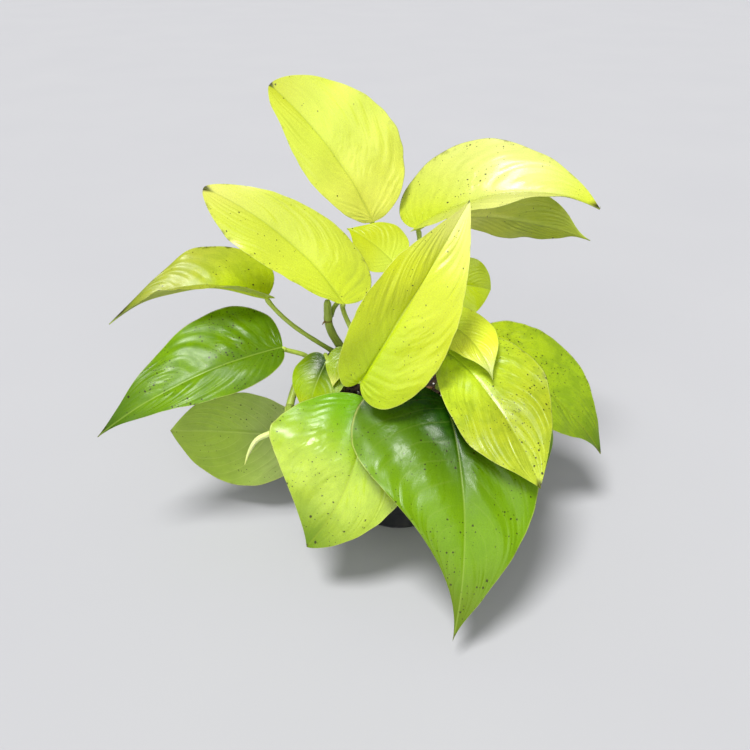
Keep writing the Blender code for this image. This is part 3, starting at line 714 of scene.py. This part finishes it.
def root_nubs(mat):
    """Short brown air roots below the joints, as small tapered pegs.

    Each is a bent cone 2 to 4 mm long that leaves the vine sideways and
    turns down.
    """
    rng = np.random.default_rng(41)
    pegs = []
    t = np.linspace(0, 1, 8)[:, None]
    for name, vine in VINES.items():
        line = vine_line(vine, VINE_POINTS)
        for share in sorted(set(vine_joints(name))):
            index = int(np.clip((share - 0.02) * (VINE_POINTS - 1), 2, VINE_POINTS - 3))
            growth = unit(line[index + 1] - line[index - 1])
            out = rng.normal(size=3)
            out = unit(out - (out @ growth) * growth)
            length = rng.uniform(2.2, 3.8)
            start = line[index] + out * vine["r"] * 0.7
            path = (start + out * length * t + np.array([0, 0, -1.0]) * length * 0.5 * t ** 2)
            outline = circle(0.55 * (1 - 0.75 * t ** 2), turns(8))
            pegs.append(skin("peg", tube_rings(path, outline), path[[0, -1]]))
    return dress(join("air_roots", pegs), mat, "stem")


def join(name, objects):
    """Join mesh objects into one, keeping their points as they are."""
    joined = bmesh.new()
    for obj in objects:
        joined.from_mesh(obj.data)
        bpy.data.objects.remove(obj, do_unlink=True)
    mesh = bpy.data.meshes.new(name)
    joined.to_mesh(mesh)
    joined.free()
    mesh.shade_smooth()
    return placed(name, mesh)


def new_leaf_piece(mat):
    """The furled young leaf: a tapering roll with one overlapping edge.

    It starts inside the end of its vine.  Around the roll the radius grows
    by a step of a sixth, which shows as a seam that winds once round it on
    its way to the tip.
    """
    inside = vine_line(VINES["left"], VINE_POINTS)[-4]
    path = np.vstack([inside, smooth_path(NEW_LEAF_PATH, 70)])
    share = np.linspace(0, 1, len(path))[:, None]
    swell = np.interp(share, np.linspace(0, 1, 9),
                      [0.8, 0.95, 1.0, 1.0, 0.95, 0.85, 0.7, 0.45, 0.12])
    around = turns(32)
    turn = (around[None] - 1.2 - 2.4 * share) % (2 * math.pi)
    seam = 1 + 0.16 * (turn / (2 * math.pi)) - 0.1 * np.exp(-turn * 6)
    piece = stem_skin("furled_new_leaf", path, around,
                      NEW_LEAF_RADIUS * swell * seam * NEW_LEAF_SLIMMER,
                      ("a8bc40", "d4e27c", "e4eca0", "d0dc74"))
    return dress(piece, mat, "young_leaf", "new_leaf")


# --------------------------------------------------------------------- pot
def outer_wall(z):
    """Outer radius of the tapered wall at height z, in mm."""
    share = z / POT_HEIGHT
    return POT_BASE_RADIUS + (POT_TOP_RADIUS - POT_BASE_RADIUS) * share


def hoop(radius, turn, height):
    """Points at a radius and a turn about Z, at a height."""
    flat = circle(radius, turn)
    level = np.broadcast_to(height, flat.shape[:-1])
    return np.concatenate([flat, level[..., None]], -1)


def rounded(profile, steps=5):
    """Round each corner of a closed (radius, height, bend) profile.

    A corner becomes a quadratic Bezier curve that starts and ends its bend
    length away along the two edges, at most 45% of an edge.
    """
    p = np.array([(r, z) for r, z, _ in profile], float)
    bends = np.array([bend for _, _, bend in profile], float)
    t = np.linspace(0, 1, steps)[:, None]
    line = []
    for here, last, after, bend in zip(p, np.roll(p, 1, 0), np.roll(p, -1, 0), bends):
        back, forth = last - here, after - here
        start = here + back * min(0.45, bend / np.linalg.norm(back))
        end = here + forth * min(0.45, bend / np.linalg.norm(forth))
        line.append((1 - t) ** 2 * start + 2 * t * (1 - t) * here + t ** 2 * end)
    return np.vstack(line)


def pot_piece(mat):
    """The moulded pot: a wall profile turned about Z, with drain holes.

    Below the rim band the wall carries shallow upright flutes: its radius
    rises and falls by a cosine of the turn.
    """
    low = POT_HEIGHT - RIM_HEIGHT
    inner_rim = RIM_RADIUS - WALL - 0.8
    profile = [
        (BASE_OPENING, BASE_THICKNESS, 0.2),
        (POT_BASE_RADIUS - 3, BASE_THICKNESS, 0.8),
        (outer_wall(5) - WALL, 5, 0.8),
        (outer_wall(low) - WALL, low, 0.5),
        (inner_rim, low + 1.5, 0.5),
        (inner_rim, POT_HEIGHT, 0.3),
        (RIM_RADIUS - 0.4, POT_HEIGHT, 0.5),
        (RIM_RADIUS, POT_HEIGHT - 0.7, 0.5),
        (RIM_RADIUS, POT_HEIGHT - 2.4, 0.4),
        (RIM_RADIUS - 0.8, POT_HEIGHT - 3.0, 0.3),
        (RIM_RADIUS - 0.8, low, 0.4),
        (outer_wall(low), low - 0.8, 0.4),
        (outer_wall(14) - 0.1, 14, 0.3),
        (outer_wall(12) - 0.5, 12.6, 0.3),
        (outer_wall(2) - 0.4, 2, 0.8),
        (POT_BASE_RADIUS - 1.5, 0, 0.6),
        (BASE_OPENING, 0, 0.2),
    ]
    line = rounded(profile)
    # Long straight runs get more points, so that the flutes can follow.
    line = np.vstack([line, line[:1]])
    line = np.vstack([a + (b - a) * np.arange(k)[:, None] / k for a, b in zip(line[:-1], line[1:])
                      for k in [max(1, int(np.linalg.norm(b - a) / 3))]])
    turn = turns(288)
    radius, height = line[:, 0], line[:, 1]
    is_wall = radius > outer_wall(height) - 0.7
    fade = is_wall * ease(15, 20, height) * ease(low - 2, low - 8, height)
    flute = FLUTE_DEPTH * np.cos(FLUTES * turn)[:, None] * fade
    pot = skin("nursery_pot", hoop(radius + flute, turn[:, None], height))
    # The turned ring leaves the middle of the base open: a disc fills it.
    disc = [hoop(r, turn, z) for r, z in ((8.0, 0.0), (9.6, 0.0), (9.6, BASE_THICKNESS),
             (8.0, BASE_THICKNESS))]
    middle = skin("base_middle", np.stack(disc), np.array([(0, 0, 0.0), (0, 0, BASE_THICKNESS)]))
    tools = [middle]
    for number in range(DRAIN_HOLES):
        angle = 2 * math.pi * (number + 0.5) / DRAIN_HOLES
        x = DRAIN_CIRCLE_RADIUS * math.cos(angle)
        y = DRAIN_CIRCLE_RADIUS * math.sin(angle)
        wall = [hoop(DRAIN_HOLE_RADIUS, turns(32), z) + (x, y, 0) for z in (-2.0, 0.5, 5.0)]
        tools.append(skin(f"drain_{number}", np.stack(wall),
                          np.array([(x, y, -2.0), (x, y, 5.0)])))
    for tool in tools:
        boolean = pot.modifiers.new(tool.name, "BOOLEAN")
        boolean.operation = "UNION" if tool is middle else "DIFFERENCE"
        boolean.solver = "EXACT"
        boolean.object = tool
    graph = bpy.context.evaluated_depsgraph_get()
    mesh = bpy.data.meshes.new_from_object(pot.evaluated_get(graph))
    pot.modifiers.clear()
    pot.data = mesh
    for tool in tools:
        bpy.data.objects.remove(tool, do_unlink=True)
    mesh.shade_smooth()
    mesh.set_sharp_from_angle(angle=math.radians(50))
    mesh.materials.clear()
    return dress(pot, mat, "pot_plastic", "pot")


# -------------------------------------------------------------------- soil
def soil_height(x, y):
    """Height of the potting mix: a low mound with lumps of 3 sizes."""
    r = np.hypot(x, y)
    height = SOIL_TOP - 1.4 + (SOIL_MOUND + 1.2) * (1 - (r / 41) ** 2)
    for seed, rise, width, terms in ((7, 0.55, 15, 6), (8, 0.38, 6, 8), (9, 0.22, 2.6, 10)):
        height = height + rise * wander(seed, x / width, y / width, terms=terms)
    return height


def soil_piece(mat):
    """The root ball: a lumpy top that turns down into the pot's taper."""
    turn = turns(240)
    edge = outer_wall(SOIL_TOP - 2) - WALL - SOIL_CLEAR
    radii = np.linspace(0.8, edge, 62)[:, None]
    flat = circle(radii, turn)
    height = soil_height(flat[..., 0], flat[..., 1])
    bottom = BASE_THICKNESS + SOIL_CLEAR
    levels = [(outer_wall(z) - WALL - SOIL_CLEAR, z) for z in (70, 40, 5)]
    levels += [(POT_BASE_RADIUS - 3.4, bottom), (12, bottom)]
    sides = [hoop(r, turn, z)[None] for r, z in levels]
    poles = np.array([(0, 0, soil_height(0.0, 0.0)), (0, 0, bottom)])
    piece = skin("potting_mix", np.concatenate([hoop(radii, turn, height), *sides]), poles)
    return dress(piece, mat, "potting_mix", "soil")


def scatter(name, count, sizes, flatness, mat, seed):
    """Scatter grains over the soil: squashed, dented 20-sided balls.

    Each grain is one icosahedron, stretched to its own length and breadth,
    turned at random and laid on the soil, clear of the vines.
    """
    rng = np.random.default_rng(seed)
    ball = bmesh.new()
    bmesh.ops.create_icosphere(ball, subdivisions=1, radius=1.0)
    verts = np.array([vert.co[:] for vert in ball.verts])
    faces = np.array([[vert.index for vert in face.verts] for face in ball.faces])
    ball.free()
    spot = rng.uniform(-40, 40, (count * 4, 2))
    keep = np.hypot(*spot.T) < SOIL_REACH
    for vine in VINES.values():
        x, y = vine["path"][0]
        keep &= np.hypot(spot[:, 0] - x, spot[:, 1] - y) > vine["r"] + 0.8
    spot = spot[keep][:count]
    n = len(spot)
    size = rng.uniform(*sizes, n)[:, None, None] / 2
    axes = rng.uniform(0.6, 1.0, (n, 1, 3))
    axes[:, :, 2] *= flatness
    grain = verts[None] * size * axes
    grain = grain * rng.uniform(0.8, 1.15, (n, len(verts), 1))
    turn = rng.uniform(0, 2 * math.pi, n)[:, None]
    tilt = rng.normal(0, 0.35, n)[:, None]
    x, y, z = grain[..., 0], grain[..., 1], grain[..., 2]
    y, z = (y * np.cos(tilt) - z * np.sin(tilt), y * np.sin(tilt) + z * np.cos(tilt))
    x, y = (x * np.cos(turn) - y * np.sin(turn), x * np.sin(turn) + y * np.cos(turn))
    rise = soil_height(spot[:, 0], spot[:, 1])
    rise = rise + size[:, 0, 0] * flatness * GRAIN_RISE
    where = np.stack([x + spot[:, :1], y + spot[:, 1:], z + rise[:, None]], -1)
    all_faces = (faces[None] + np.arange(n)[:, None, None] * len(verts))
    mesh = bpy.data.meshes.new(name)
    mesh.from_pydata((where.reshape(-1, 3) * MM).tolist(), [], all_faces.reshape(-1, 3).tolist())
    mesh.update()
    return dress(placed(name, mesh), mat, "potting_mix")


# --------------------------------------------------------------- materials
SMOOTH = dict(interpolation_type="SMOOTHSTEP")
COLOURS = dict(data_type="RGBA")


def node(tree, kind, *values, inputs=None, **settings):
    """Add a node, set its properties, and set or link its inputs.

    kind is the node's type, then its operation if it has one.  values fill
    the inputs in use in their own order, which is a value, its old range
    and its new one for MapRange, and place, scale, detail and roughness for
    a texture.  inputs fills them by name.  A value that is a node or a
    socket is linked, a node by its first output in use; any other is set.
    """
    kind, _, operation = kind.partition(" ")
    made = tree.nodes.new("ShaderNode" + kind)
    if operation:
        made.operation = operation
    for name, value in settings.items():
        setattr(made, name, value)
    in_use = [socket for socket in made.inputs if socket.enabled]
    named = {socket.name: socket for socket in reversed(in_use)}
    pairs = [*zip(in_use, values)]
    pairs += [(named[name], value) for name, value in (inputs or {}).items()]
    for socket, value in pairs:
        if isinstance(value, bpy.types.Node):
            value = next(s for s in value.outputs if s.enabled)
        if isinstance(value, bpy.types.NodeSocket):
            tree.links.new(value, socket)
        else:
            socket.default_value = value
    return made


def new_material(name):
    """Return an empty node material and its tree."""
    mat = bpy.data.materials.new(name)
    mat.use_nodes = True
    mat.node_tree.nodes.clear()
    return mat, mat.node_tree


def leaf_material(name, gloss, shine, glow, rib_tone, rib_share, vein_share):
    """Living pothos leaf: soft tissue under a thin, smooth layer of wax.

    The wax gives broad, soft highlights that break up over the wrinkles
    between the side veins.  The tissue lets light through, so a blade lit
    from behind glows yellow-green.  The underside has less wax: it is
    paler and duller, with raised veins.  gloss is the roughness of the wax,
    shine how strongly it reflects and glow the share of light let through;
    the last three say how the midrib and the side veins stand out.
    """
    mat, tree = new_material(name)
    tint = node(tree, "Attribute", attribute_name="tint")
    parts = [node(tree, "Attribute", attribute_name=field)
             for field in ("blade", "veins", "traits")]
    parts = [node(tree, "SeparateXYZ", part.outputs["Vector"]).outputs for part in parts]
    (along, across, out), (phase, on_blade, under), traits = parts
    mottled, speckled, dried = traits

    # Blotches of deeper green, 2 to 8 mm across.
    spread = node(tree, "CombineXYZ", along, across)
    blotch = node(tree, "TexNoise", spread, 0.12, 6.0, 0.66)
    patch = node(tree, "MapRange", blotch, 0.40, 0.62, **SMOOTH)
    patch = node(tree, "Math MULTIPLY", patch, mottled)
    colour = node(tree, "Mix", patch, tint.outputs["Color"], linear(MOTTLE_GREEN), **COLOURS)

    # The cell grain is about 0.1 mm: drawn at 0.6 mm, so that it shows.
    cells = node(tree, "TexNoise", spread, 1.6, 2.0)
    grit = node(tree, "MapRange", cells, 0.3, 0.7, 0.91, 1.09)
    # Faint flecks 2 to 3 mm long that follow the side veins.
    slant = node(tree, "Math MULTIPLY", phase, 5.0)
    run = node(tree, "Math MULTIPLY", across, 0.4)
    grain = node(tree, "CombineXYZ", slant, run)
    fleck = node(tree, "TexNoise", grain, 1.0, 3.0, 0.55)
    shade = node(tree, "MapRange", fleck, 0.3, 0.7, 0.97, 1.03)
    cloud = node(tree, "MapRange", blotch, 0.35, 0.65, 0.94, 1.04)
    for tone in (grit, cloud, shade):
        colour = node(tree, "VectorMath MULTIPLY", colour, tone)

    # Side veins: pale threads about 0.7 mm wide at every whole phase.
    cycle = node(tree, "Math PINGPONG", phase, 0.5)
    thread = node(tree, "MapRange", cycle, 0.07, 0.0, **SMOOTH)
    show = node(tree, "Math MULTIPLY_ADD", under, 0.14, vein_share)
    thread = node(tree, "Math MULTIPLY", thread, on_blade)
    thread = node(tree, "Math MULTIPLY", thread, show)
    # The midrib: a fine line under 1 mm wide.
    far = node(tree, "Math ABSOLUTE", across)
    rib = node(tree, "MapRange", far, 0.6, 0.15, 0.0, rib_share, **SMOOTH)
    colour = node(tree, "Mix", rib, colour, linear(rib_tone), **COLOURS)
    # The margin: a thin rim of clear, pale tissue, painted paler still as the glow of light
    # through the thin edge.
    rim = node(tree, "MapRange", out, 0.976, 0.996, **SMOOTH)
    rim = node(tree, "Math MULTIPLY", rim, 0.5)
    pale = node(tree, "Math MAXIMUM", thread, rim)
    colour = node(tree, "Mix", pale, colour, linear("e4ec84"), **COLOURS)
    # The underside is paler and greyer.
    beneath = node(tree, "Math MULTIPLY", under, 0.3)
    colour = node(tree, "Mix", beneath, colour, linear(UNDERSIDE), **COLOURS)

    # Brown specks 0.2 to 1.7 mm across, in loose clusters, as many as the
    # leaf's own trait says.
    cluster = node(tree, "TexNoise", spread, 0.055, 2.0)
    cluster = node(tree, "MapRange", cluster, 0.42, 0.68)
    speckled = node(tree, "Math MULTIPLY", speckled, cluster)
    speckled = node(tree, "Math MULTIPLY", speckled, 0.6)
    ragged = node(tree, "TexNoise", spread, 1.8, 1.0)
    spread = node(tree, "VectorMath MULTIPLY_ADD", ragged.outputs["Color"],
                  (0.9, 0.9, 0.0), spread)
    specks = []
    for cell, radius in ((1.5, 0.13), (3.0, 0.11), (9.0, 0.06)):
        spot = node(tree, "TexVoronoi", spread, 1 / cell, voronoi_dimensions="2D")
        lot = node(tree, "SeparateColor", spot.outputs["Color"]).outputs
        chosen = node(tree, "Math LESS_THAN", lot[0], speckled)
        size = node(tree, "Math MULTIPLY_ADD", lot[1], radius, radius * 0.6)
        size = node(tree, "Math MULTIPLY", size, chosen)
        gap = node(tree, "Math SUBTRACT", size, spot.outputs["Distance"])
        specks.append(node(tree, "MapRange", gap, 0.0, 0.03))
    # Dry brown patches along the margin, 2 to 8 mm long.
    edge = node(tree, "MapRange", out, 0.90, 0.99)
    scorch = node(tree, "TexNoise", spread, 0.2, 5.0, 0.7)
    scorch = node(tree, "MapRange", scorch, 0.53, 0.62)
    scorch = node(tree, "Math MULTIPLY", scorch, edge)
    brown = node(tree, "Math MULTIPLY", scorch, dried)
    for speck in specks:
        brown = node(tree, "Math MAXIMUM", brown, speck)
    brown = node(tree, "Math MULTIPLY", brown, 0.92)
    colour = node(tree, "Mix", brown, colour, linear(SPECK_BROWN), **COLOURS)

    # Puckers run with the side veins, in patches.  On a large leaf they are
    # about 4 mm wide and 7 mm long.  The flecks lie over them, faintly, and
    # the cell grain over all.
    slant = node(tree, "Math MULTIPLY", phase, 1.9)
    run = node(tree, "Math MULTIPLY", across, 0.19)
    line = node(tree, "CombineXYZ", slant, run)
    pucker = node(tree, "TexNoise", line, 1.0, 1.5, 0.45, inputs={"Distortion": 0.2})
    pucker = node(tree, "Math SUBTRACT", pucker, 0.5)
    region = node(tree, "TexNoise", spread, 0.035, 1.0)
    region = node(tree, "MapRange", region, 0.4, 0.6, 0.2, 1.2, **SMOOTH)
    pucker = node(tree, "Math MULTIPLY", pucker, region)
    height = node(tree, "Math MULTIPLY_ADD", fleck, 0.05, pucker)
    height = node(tree, "Math MULTIPLY", height, on_blade)
    height = node(tree, "Math MULTIPLY_ADD", cells, 0.1, height)
    bump = node(tree, "Bump", inputs={"Height": height, "Strength": 1.0, "Distance": 0.0006})
    rough = node(tree, "MapRange", blotch, 0.3, 0.7, gloss - 0.05, gloss + 0.08)
    rough = node(tree, "Math MULTIPLY_ADD", under, 0.18, rough)
    waxy = node(tree, "BsdfPrincipled", inputs={
        "Base Color": colour, "Roughness": rough, "IOR": 1.45,
        "Specular IOR Level": shine, "Normal": bump})
    through = node(tree, "VectorMath MULTIPLY", colour, (1.0, 1.0, 0.35))
    light = node(tree, "BsdfTranslucent", through, inputs={"Normal": bump})
    # The spongy tissue under the blade scatters more light back.
    passed = node(tree, "Math MULTIPLY_ADD", under, -0.15, glow)
    mixed = node(tree, "MixShader", passed, waxy, light)
    node(tree, "OutputMaterial", mixed)
    return mat


def stem_material(name, gloss=0.42):
    """Green stem skin: smooth, slightly waxy, finely ribbed along it.

    The ribs show as soft streaks of lighter and deeper green that run the
    length of the stem; old joints carry a thin brown scar.
    """
    mat, tree = new_material(name)
    tint = node(tree, "Attribute", attribute_name="tint")
    stem = node(tree, "Attribute", attribute_name="stem")
    along, around, scar = node(tree, "SeparateXYZ", stem.outputs["Vector"]).outputs
    # Round the stem: cosine and sine keep the pattern free of a seam.
    cosine = node(tree, "Math COSINE", around)
    sine = node(tree, "Math SINE", around)
    slow = node(tree, "Math MULTIPLY", along, 0.05)
    coat = node(tree, "CombineXYZ", cosine, sine, slow)
    streak = node(tree, "TexNoise", coat, 3.2, 5.0, 0.65)
    shade = node(tree, "MapRange", streak, 0.3, 0.7, 0.72, 1.22)
    colour = node(tree, "VectorMath MULTIPLY", tint.outputs["Color"], shade)
    # Corky flecks, 0.3 to 0.6 mm.
    place = node(tree, "TexCoord").outputs["Object"]
    fleck = node(tree, "TexVoronoi", place, 520.0).outputs["Distance"]
    dot = node(tree, "MapRange", fleck, 0.16, 0.08, 0.0, 0.28)
    brown = node(tree, "Math MAXIMUM", dot, scar)
    colour = node(tree, "Mix", brown, colour, linear("6e5526"), **COLOURS)
    bump = node(tree, "Bump", inputs={"Height": streak, "Strength": 0.4, "Distance": 0.0004})
    shader = node(tree, "BsdfPrincipled", inputs={
        "Base Color": colour, "Roughness": gloss, "IOR": 1.45,
        "Normal": bump, "Subsurface Weight": 0.12,
        "Subsurface Radius": (0.5, 0.9, 0.2), "Subsurface Scale": 0.002})
    node(tree, "OutputMaterial", shader)
    return mat


def grain_material(name, colours, size, gloss, depth=0.0006):
    """Loose mineral or plant matter: dull, rough, mixed in colour.

    colours run from the deepest to the lightest; they mix in patches of
    size mm and again in ever smaller specks.
    """
    mat, tree = new_material(name)
    place = node(tree, "TexCoord").outputs["Object"]
    patch = node(tree, "TexNoise", place, 1000 / size, 8.0, 0.72)
    ramp = node(tree, "ValToRGB", patch)
    ends = ramp.color_ramp.elements
    while len(ends) < len(colours):
        ends.new(0.5)
    for number, code in enumerate(colours):
        ends[number].position = 0.32 + 0.4 * number / (len(colours) - 1)
        ends[number].color = linear(code)
    bump = node(tree, "Bump", inputs={"Height": patch, "Strength": 0.8, "Distance": depth})
    shader = node(tree, "BsdfPrincipled", inputs={
        "Base Color": ramp, "Roughness": gloss, "Normal": bump})
    node(tree, "OutputMaterial", shader)
    return mat


def pot_material():
    """Injection-moulded polypropylene, black and satin.

    The mould leaves a fine, even grain that blurs the highlights.  Handling
    and watering leave faint pale scuffs and a film of dried dust.
    """
    mat, tree = new_material("moulded_black_polypropylene")
    place = node(tree, "TexCoord").outputs["Object"]
    # Mould grain is about 0.1 mm: drawn at 0.5 mm, so that it shows.
    grain = node(tree, "TexNoise", place, 2000.0, 2.0)
    dust = node(tree, "TexNoise", place, 55.0, 8.0, 0.7)
    stretch = node(tree, "Mapping", inputs={"Vector": place, "Scale": (900.0, 900.0, 90.0)})
    scuff = node(tree, "TexNoise", stretch, 1.0, 3.0)
    film = node(tree, "MapRange", dust, 0.45, 0.75, 0.0, 0.35, **SMOOTH)
    line = node(tree, "MapRange", scuff, 0.66, 0.78, 0.0, 0.4)
    marks = node(tree, "Math MAXIMUM", film, line)
    colour = node(tree, "Mix", marks, linear("1d2023"), linear("5d5a52"), **COLOURS)
    rough = node(tree, "MapRange", dust, 0.3, 0.75, 0.34, 0.58)
    bump = node(tree, "Bump", inputs={"Height": grain, "Strength": 0.25, "Distance": 0.0001})
    shader = node(tree, "BsdfPrincipled", inputs={
        "Base Color": colour, "Roughness": rough, "IOR": 1.49,
        "Normal": bump})
    node(tree, "OutputMaterial", shader)
    return mat


# ----------------------------------------------------------------- the plant
GREENER = ("front", "mid_left", "low_left", "far_left", "shade_left", "low_right")
STALK_GREEN = ("8aa236", "a8bc48", "b4c850")
STALK_TINTS = {"crown": ("a0b440", "c8d850", "d0e054"), "centre": ("a4b840", "c4d64c", "d0e054"),
               "small_left": ("b8cc50", "ccdc58", "d0e060")}
VINE_GREEN = ("6a7a34", "7f9438", "98ac44", "a8bc4c")

neon = leaf_material("waxy_neon_leaf", gloss=0.27, shine=0.7, glow=0.25,
                     rib_tone="9fb028", rib_share=0.35, vein_share=0.04)
green = leaf_material("waxy_green_leaf", gloss=0.29, shine=0.4, glow=0.20,
                      rib_tone="b4cc5c", rib_share=0.25, vein_share=0.04)
stalk_skin = stem_material("smooth_green_stem")
young_skin = stem_material("young_furled_leaf", gloss=0.36)

for leaf_name, leaf_spec in LEAVES.items():
    is_green = leaf_name in GREENER
    leaf_piece(leaf_name, leaf_spec, green if is_green else neon,
               "green_leaf" if is_green else "neon_leaf")
for stalk_name in PETIOLES:
    petiole_piece(stalk_name, stalk_skin)
for vine_name in VINES:
    vine_piece(vine_name, stalk_skin)
new_leaf_piece(young_skin)
root_nubs(grain_material("dry_air_root", ("4a3818", "86693a", "a08450"), 3, 0.8, 0.0002))

pot_piece(pot_material())
soil_piece(grain_material("moist_peat_mix", ("120c08", "2a1d12", "4a3520"), 3.5, 0.92))
scatter("peat_crumbs", 900, (1.4, 3.6), 0.75,
        grain_material("peat_crumb", ("160f0a", "382718", "5e4429"), 2, 0.95, 0.0004), seed=11)
scatter("bark_chips", 90, (3.5, 7.5), 0.4,
        grain_material("composted_bark", ("3a2413", "6d4a2b", "8d6a44"), 3,
                       0.85, 0.0004), seed=12)
scatter("perlite", 110, (1.4, 3.2), 0.85,
        grain_material("expanded_perlite", ("c4c2bb", "e6e4de", "f4f3ef"),
                       1, 0.9, 0.0003), seed=13)


# ------------------------------------------------------- floor, light, view
def floor_piece():
    """A wide, pale, matt floor of paper: one flat sheet, 12 m square.

    Its tone wanders by a shade or so, as the fibres lie.
    """
    mesh = bpy.data.meshes.new("studio_floor")
    half = 6.0
    corners = [(-half, -half, 0), (half, -half, 0), (half, half, 0), (-half, half, 0)]
    mesh.from_pydata(corners, [], [(0, 1, 2, 3)])
    mat, tree = new_material("matt_studio_paper")
    place = node(tree, "TexCoord").outputs["Object"]
    fibre = node(tree, "TexNoise", place, 6.0)
    tone = node(tree, "Mix", fibre, linear("b8b8bb"), linear("bcbcbe"), **COLOURS)
    shader = node(tree, "BsdfPrincipled", inputs={
        "Base Color": tone, "Roughness": 0.95, "Specular IOR Level": 0.1})
    node(tree, "OutputMaterial", shader)
    mesh.materials.append(mat)
    placed("studio_floor", mesh)


def aim(obj, place, target):
    """Stand a light or a camera at a place and turn it to a target."""
    obj.location = place
    way = Vector(target) - Vector(place)
    obj.rotation_euler = way.to_track_quat("-Z", "Y").to_euler()


floor_piece()
# Each light: its strength, its place in metres and its width in degrees.
for light_name, strength, place, width in (
        ("window_light", 3.2, (-0.25, -0.35, 1.0), 18),
        ("front_fill", 1.7, (-0.1, -1.0, 0.4), 70)):
    light = bpy.data.lights.new(light_name, "SUN")
    light.energy = strength
    light.angle = math.radians(width)
    aim(placed(light_name, light), place, (0, 0, 0))
scene = bpy.context.scene
world = bpy.data.worlds.new("soft_room")
world.use_nodes = True
sky = world.node_tree.nodes["Background"].inputs
sky["Color"].default_value = linear("eef0f4")
sky["Strength"].default_value = 0.34
scene.world = world
scene.view_settings.view_transform = "Standard"

EYE = Vector((-14, -387, 307.5)) * MM
LOOK_AT = Vector((-14, 0, 84)) * MM
camera_data = bpy.data.cameras.new("camera")
camera_data.sensor_width = 36.0
camera_data.lens = 38.59
camera = placed("camera", camera_data)
aim(camera, EYE, LOOK_AT)
scene.camera = camera

bpy.context.view_layer.update()
